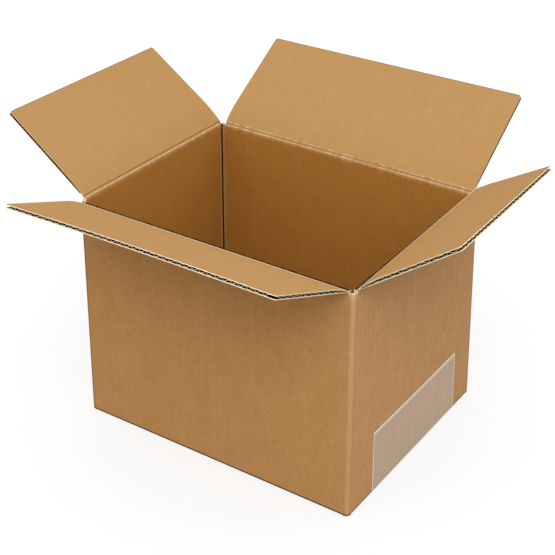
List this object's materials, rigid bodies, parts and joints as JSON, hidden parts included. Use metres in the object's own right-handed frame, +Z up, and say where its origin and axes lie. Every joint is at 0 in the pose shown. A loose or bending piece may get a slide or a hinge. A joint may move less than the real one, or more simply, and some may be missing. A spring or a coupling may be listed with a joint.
{
  "type": "open corrugated shipping box",
  "caption": "Open corrugated board box with four hinged top flaps leaning outwards and a bottom sealed with broad clear tape.",
  "frame": {"origin": "middle of the underside, on the surface the box stands on", "axes": "+X along the long panels towards the taped right-hand end, +Y from the front panel to the back panel, +Z up"},
  "size_m": [0.5071, 0.4465, 0.3125],
  "materials": {
    "kraft_board": "matte uncoated kraft liner",
    "clear_film": "glossy clear film"
  },
  "bodies": {
    "box": {"box_body": "kraft_board", "clear_tape": "clear_film"},
    "front_flap": {"front_flap": "kraft_board"},
    "right_flap": {"right_flap": "kraft_board"},
    "back_flap": {"back_flap": "kraft_board"},
    "left_flap": {"left_flap": "kraft_board"}
  },
  "joints": [
    {"name": "front_flap_crease", "type": "hinge", "parent": "box", "child": "front_flap", "pos_m": [0, -0.11885, 0.2433], "axis": [1, 0, 0], "range_deg": [-158, 60]},
    {"name": "right_flap_crease", "type": "hinge", "parent": "box", "child": "right_flap", "pos_m": [0.1565, 0, 0.241], "axis": [0, 1, 0], "range_deg": [-146, 120]},
    {"name": "back_flap_crease", "type": "hinge", "parent": "box", "child": "back_flap", "pos_m": [0, 0.11875, 0.2434], "axis": [-1, 0, 0], "range_deg": [-148, 72]},
    {"name": "left_flap_crease", "type": "hinge", "parent": "box", "child": "left_flap", "pos_m": [-0.1565, 0, 0.241], "axis": [0, -1, 0], "range_deg": [-144.7, 121.3]}
  ]
}
